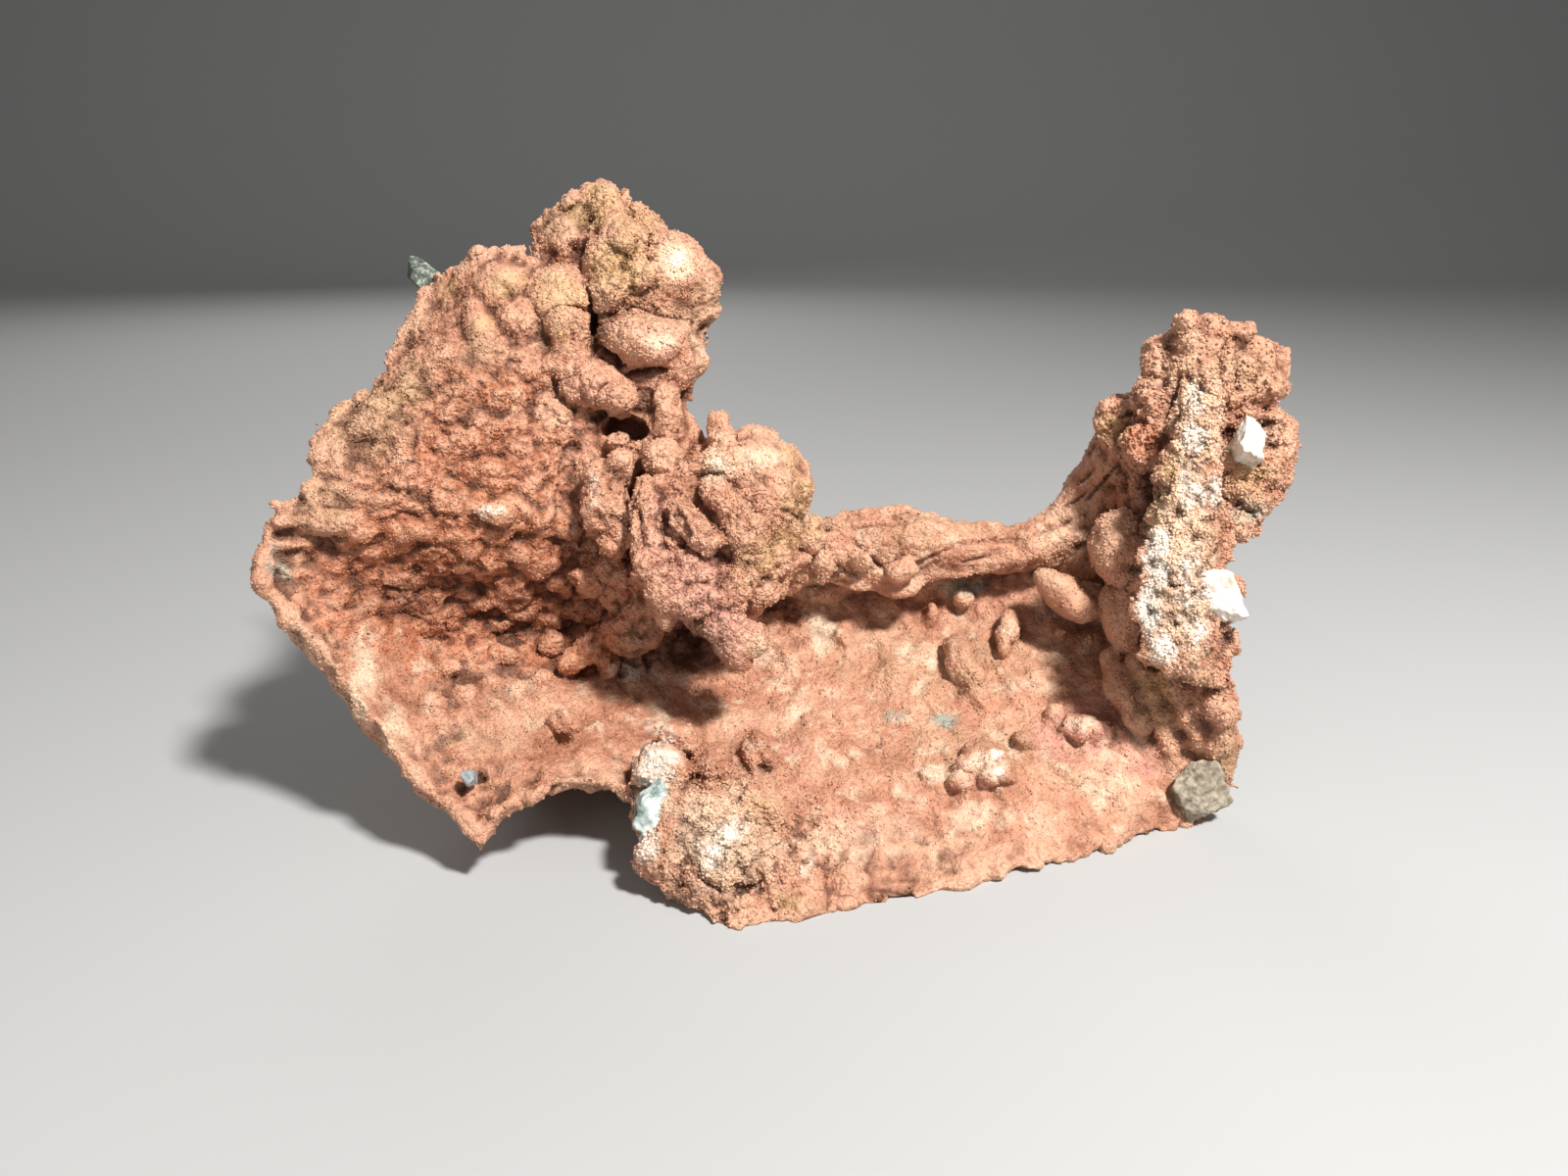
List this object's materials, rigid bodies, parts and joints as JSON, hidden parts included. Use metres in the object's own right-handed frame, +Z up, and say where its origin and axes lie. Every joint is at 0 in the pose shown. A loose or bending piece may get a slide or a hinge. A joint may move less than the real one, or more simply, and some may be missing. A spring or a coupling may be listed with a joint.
{
  "type": "native copper nugget",
  "caption": "Native copper nugget: a bent, lumpy sheet with a tall left wall and peak, a knob of fronds, a rolled back rim, a sloping floor, a right pillar and small mineral grains.",
  "frame": {"origin": "centre of the nugget's outer box, at the bench it rests on", "axes": "+X to the right along the nugget's length, +Y to the back, +Z up"},
  "size_m": [0.2079, 0.0885, 0.1264],
  "materials": {
    "copper": "rough velvety native copper, sandy with tiny crystals",
    "calcite": "white, broken, faintly glossy",
    "green_calcite": "white and pale green, broken",
    "greenstone": "dark green rock with white grains",
    "grey_rock": "dull grey rock",
    "quartz": "clear grey grain"
  },
  "bodies": {
    "root": {"native_copper": "copper", "calcite_right": "calcite", "calcite_upper": "calcite", "calcite_front": "green_calcite", "greenstone_chip": "greenstone", "grey_rock": "grey_rock", "quartz_grain": "quartz"}
  },
  "joints": []
}
